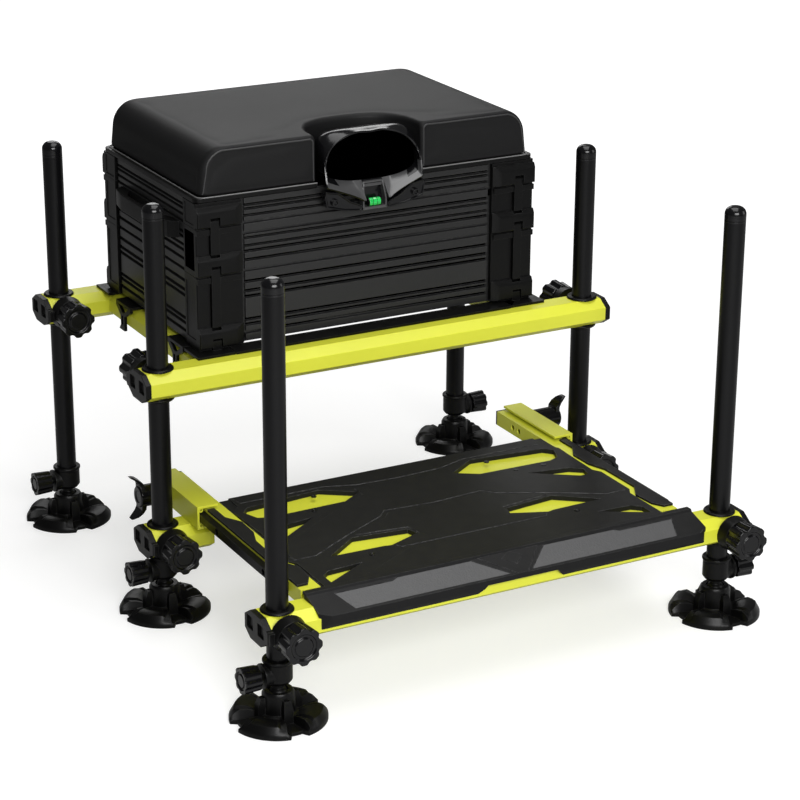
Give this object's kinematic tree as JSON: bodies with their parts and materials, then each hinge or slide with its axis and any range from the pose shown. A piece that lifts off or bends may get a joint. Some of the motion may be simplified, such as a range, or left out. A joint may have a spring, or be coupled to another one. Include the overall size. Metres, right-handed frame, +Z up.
{
  "type": "fishing seat box",
  "caption": "Fishing seat box: padded lid over stacked hinged trays on a clamped leg frame, with ball feet, a pole rest and a sliding footplate.",
  "frame": {"origin": "on the ground, at the middle of the whole object's box", "axes": "+Z up, the front with the footplate faces -Y, +X is to the right as seen from the front"},
  "size_m": [0.6922, 0.7558, 0.556],
  "materials": {
    "leg_coat": "black anodised, satin",
    "lime_paint": "powder coat, semi gloss",
    "tray_coat": "black coated, satin",
    "black_plastic": "moulded, fine grain",
    "gloss_black": "gloss moulded",
    "deck_plastic": "moulded, non-slip",
    "seat_cover": "matt vinyl over foam",
    "vial": "green spirit level vial"
  },
  "bodies": {
    "root": {"seat_frame_rails": "lime_paint", "seat_side_rails": "lime_paint", "frame_plastics": "black_plastic", "base_brackets": "black_plastic", "tray_deep_walls": "tray_coat", "tray_deep_corners": "black_plastic"},
    "tray_middle": {"tray_middle_walls": "tray_coat", "tray_middle_corners": "black_plastic", "carry_handles": "black_plastic"},
    "tray_top": {"tray_top_walls": "tray_coat", "tray_top_corners": "black_plastic", "pole_rest": "gloss_black", "level_vial": "vial"},
    "lid": {"seat_base": "black_plastic", "seat_cushion": "seat_cover"},
    "bolts_front_upper": {"bolts_front_upper": "black_plastic"},
    "bolts_rear_upper": {"bolts_rear_upper": "black_plastic"},
    "bolts_front_lower": {"bolts_front_lower": "black_plastic"},
    "bolts_rear_lower": {"bolts_rear_lower": "black_plastic"},
    "carrier": {"carrier_channels": "lime_paint", "carrier_clamps": "black_plastic"},
    "footplate": {"footplate_frame": "lime_paint", "footplate_deck": "deck_plastic", "footplate_trims": "deck_plastic", "toe_bar": "deck_plastic", "footplate_clamps": "black_plastic"},
    "leg_front_left": {"leg_tube_front_left": "leg_coat", "foot_fitting_front_left": "black_plastic"},
    "leg_front_right": {"leg_tube_front_right": "leg_coat", "foot_fitting_front_right": "black_plastic"},
    "leg_middle_left": {"leg_tube_middle_left": "leg_coat", "foot_fitting_middle_left": "black_plastic"},
    "leg_middle_right": {"leg_tube_middle_right": "leg_coat", "foot_fitting_middle_right": "black_plastic"},
    "leg_back_left": {"leg_tube_back_left": "leg_coat", "foot_fitting_back_left": "black_plastic"},
    "leg_back_right": {"leg_tube_back_right": "leg_coat", "foot_fitting_back_right": "black_plastic"},
    "foot_pad_front_left": {"foot_pad_front_left": "black_plastic"},
    "foot_pad_front_right": {"foot_pad_front_right": "black_plastic"},
    "foot_pad_middle_left": {"foot_pad_middle_left": "black_plastic"},
    "foot_pad_middle_right": {"foot_pad_middle_right": "black_plastic"},
    "foot_pad_back_left": {"foot_pad_back_left": "black_plastic"},
    "foot_pad_back_right": {"foot_pad_back_right": "black_plastic"},
    "foot_knob_front_left": {"foot_knob_front_left": "gloss_black"},
    "foot_knob_front_right": {"foot_knob_front_right": "gloss_black"},
    "foot_knob_middle_left": {"foot_knob_middle_left": "gloss_black"},
    "foot_knob_middle_right": {"foot_knob_middle_right": "gloss_black"},
    "foot_knob_back_left": {"foot_knob_back_left": "gloss_black"},
    "foot_knob_back_right": {"foot_knob_back_right": "gloss_black"},
    "clamp_knob_upper_middle_left": {"clamp_knob_upper_middle_left": "gloss_black"},
    "clamp_knob_upper_middle_right": {"clamp_knob_upper_middle_right": "gloss_black"},
    "clamp_knob_upper_back_left": {"clamp_knob_upper_back_left": "gloss_black"},
    "clamp_knob_upper_back_right": {"clamp_knob_upper_back_right": "gloss_black"},
    "clamp_knob_lower_front_left": {"clamp_knob_lower_front_left": "gloss_black"},
    "clamp_knob_lower_front_right": {"clamp_knob_lower_front_right": "gloss_black"},
    "clamp_knob_lower_middle_left": {"clamp_knob_lower_middle_left": "gloss_black"},
    "clamp_knob_lower_middle_right": {"clamp_knob_lower_middle_right": "gloss_black"},
    "wing_knob_left": {"wing_knob_left": "gloss_black"},
    "wing_knob_right": {"wing_knob_right": "gloss_black"}
  },
  "joints": [
    {"name": "lid_hinge", "type": "hinge", "parent": "tray_top", "child": "lid", "pos_m": [0, 0.31441, 0.4916], "axis": [-1, 0, 0], "range_deg": [0, 95]},
    {"name": "tray_top_hinge", "type": "hinge", "parent": "tray_middle", "child": "tray_top", "pos_m": [0, 0.31061, 0.4681], "axis": [-1, 0, 0], "range_deg": [0, 65]},
    {"name": "tray_middle_hinge", "type": "hinge", "parent": "root", "child": "tray_middle", "pos_m": [0, 0.31061, 0.4091], "axis": [-1, 0, 0], "range_deg": [0, 65]},
    {"name": "footplate_slide", "type": "slide", "parent": "carrier", "child": "footplate", "axis": [0, 1, 0], "range_m": [-0.06, 0.19]},
    {"name": "carrier_slide", "type": "slide", "parent": "root", "child": "carrier", "axis": [0, 0, 1], "range_m": [0, 0.1]},
    {"name": "leg_slide_back_left", "type": "slide", "parent": "root", "child": "leg_back_left", "axis": [0, 0, 1], "range_m": [-0.19, 0.19]},
    {"name": "leg_slide_back_right", "type": "slide", "parent": "root", "child": "leg_back_right", "axis": [0, 0, 1], "range_m": [-0.19, 0.19]},
    {"name": "leg_slide_middle_left", "type": "slide", "parent": "root", "child": "leg_middle_left", "axis": [0, 0, 1], "range_m": [-0.19, 0]},
    {"name": "leg_slide_middle_right", "type": "slide", "parent": "root", "child": "leg_middle_right", "axis": [0, 0, 1], "range_m": [-0.19, 0]},
    {"name": "leg_slide_front_left", "type": "slide", "parent": "footplate", "child": "leg_front_left", "axis": [0, 0, 1], "range_m": [-0.3, 0.018]},
    {"name": "leg_slide_front_right", "type": "slide", "parent": "footplate", "child": "leg_front_right", "axis": [0, 0, 1], "range_m": [-0.3, 0.018]},
    {"name": "bolts_front_upper_slide", "type": "slide", "parent": "tray_middle", "child": "bolts_front_upper", "axis": [0, 0, 1], "range_m": [-0.0095, 0]},
    {"name": "bolts_rear_upper_slide", "type": "slide", "parent": "tray_middle", "child": "bolts_rear_upper", "axis": [0, 0, 1], "range_m": [-0.0095, 0]},
    {"name": "bolts_front_lower_slide", "type": "slide", "parent": "root", "child": "bolts_front_lower", "axis": [0, 0, 1], "range_m": [-0.0095, 0]},
    {"name": "bolts_rear_lower_slide", "type": "slide", "parent": "root", "child": "bolts_rear_lower", "axis": [0, 0, 1], "range_m": [-0.0095, 0]},
    {"name": "foot_tilt_front_left", "type": "hinge", "parent": "leg_front_left", "child": "foot_pad_front_left", "pos_m": [-0.2914, -0.31089, 0.028], "axis": [1, 0, 0], "range_deg": [-15, 15]},
    {"name": "foot_tilt_front_right", "type": "hinge", "parent": "leg_front_right", "child": "foot_pad_front_right", "pos_m": [0.2914, -0.31089, 0.028], "axis": [1, 0, 0], "range_deg": [-15, 15]},
    {"name": "foot_tilt_middle_left", "type": "hinge", "parent": "leg_middle_left", "child": "foot_pad_middle_left", "pos_m": [-0.2914, 0.00371, 0.028], "axis": [1, 0, 0], "range_deg": [-15, 15]},
    {"name": "foot_tilt_middle_right", "type": "hinge", "parent": "leg_middle_right", "child": "foot_pad_middle_right", "pos_m": [0.2914, 0.00371, 0.028], "axis": [1, 0, 0], "range_deg": [-15, 15]},
    {"name": "foot_tilt_back_left", "type": "hinge", "parent": "leg_back_left", "child": "foot_pad_back_left", "pos_m": [-0.2914, 0.32321, 0.028], "axis": [1, 0, 0], "range_deg": [-15, 15]},
    {"name": "foot_tilt_back_right", "type": "hinge", "parent": "leg_back_right", "child": "foot_pad_back_right", "pos_m": [0.2914, 0.32321, 0.028], "axis": [1, 0, 0], "range_deg": [-15, 15]},
    {"name": "wing_knob_turn_left", "type": "hinge", "parent": "carrier", "child": "wing_knob_left", "pos_m": [-0.2615, 0.06411, 0.1256], "axis": [-1, 0, 0], "continuous": true},
    {"name": "wing_knob_turn_right", "type": "hinge", "parent": "carrier", "child": "wing_knob_right", "pos_m": [0.2615, 0.06411, 0.1256], "axis": [1, 0, 0], "continuous": true},
    {"name": "clamp_turn_upper_middle_left", "type": "hinge", "parent": "root", "child": "clamp_knob_upper_middle_left", "pos_m": [-0.2914, 0.00371, 0.2907], "axis": [0, 1, 0], "continuous": true},
    {"name": "clamp_turn_upper_middle_right", "type": "hinge", "parent": "root", "child": "clamp_knob_upper_middle_right", "pos_m": [0.2914, 0.00371, 0.2907], "axis": [0, 1, 0], "continuous": true},
    {"name": "clamp_turn_upper_back_left", "type": "hinge", "parent": "root", "child": "clamp_knob_upper_back_left", "pos_m": [-0.2914, 0.32321, 0.2907], "axis": [0, -1, 0], "continuous": true},
    {"name": "clamp_turn_upper_back_right", "type": "hinge", "parent": "root", "child": "clamp_knob_upper_back_right", "pos_m": [0.2914, 0.32321, 0.2907], "axis": [0, -1, 0], "continuous": true},
    {"name": "clamp_turn_lower_front_left", "type": "hinge", "parent": "footplate", "child": "clamp_knob_lower_front_left", "pos_m": [-0.2914, -0.31089, 0.114], "axis": [0, -1, 0], "continuous": true},
    {"name": "clamp_turn_lower_front_right", "type": "hinge", "parent": "footplate", "child": "clamp_knob_lower_front_right", "pos_m": [0.2914, -0.31089, 0.114], "axis": [0, -1, 0], "continuous": true},
    {"name": "clamp_turn_lower_middle_left", "type": "hinge", "parent": "carrier", "child": "clamp_knob_lower_middle_left", "pos_m": [-0.2914, 0.00371, 0.0941], "axis": [0, -1, 0], "continuous": true},
    {"name": "clamp_turn_lower_middle_right", "type": "hinge", "parent": "carrier", "child": "clamp_knob_lower_middle_right", "pos_m": [0.2914, 0.00371, 0.0941], "axis": [0, -1, 0], "continuous": true},
    {"name": "foot_knob_turn_front_left", "type": "hinge", "parent": "leg_front_left", "child": "foot_knob_front_left", "pos_m": [-0.3214, -0.31089, 0.055], "axis": [-1, 0, 0], "continuous": true},
    {"name": "foot_knob_turn_front_right", "type": "hinge", "parent": "leg_front_right", "child": "foot_knob_front_right", "pos_m": [0.3214, -0.31089, 0.055], "axis": [1, 0, 0], "continuous": true},
    {"name": "foot_knob_turn_middle_left", "type": "hinge", "parent": "leg_middle_left", "child": "foot_knob_middle_left", "pos_m": [-0.3214, 0.00371, 0.055], "axis": [-1, 0, 0], "continuous": true},
    {"name": "foot_knob_turn_middle_right", "type": "hinge", "parent": "leg_middle_right", "child": "foot_knob_middle_right", "pos_m": [0.3214, 0.00371, 0.055], "axis": [1, 0, 0], "continuous": true},
    {"name": "foot_knob_turn_back_left", "type": "hinge", "parent": "leg_back_left", "child": "foot_knob_back_left", "pos_m": [-0.3214, 0.32321, 0.055], "axis": [-1, 0, 0], "continuous": true},
    {"name": "foot_knob_turn_back_right", "type": "hinge", "parent": "leg_back_right", "child": "foot_knob_back_right", "pos_m": [0.3214, 0.32321, 0.055], "axis": [1, 0, 0], "continuous": true}
  ]
}
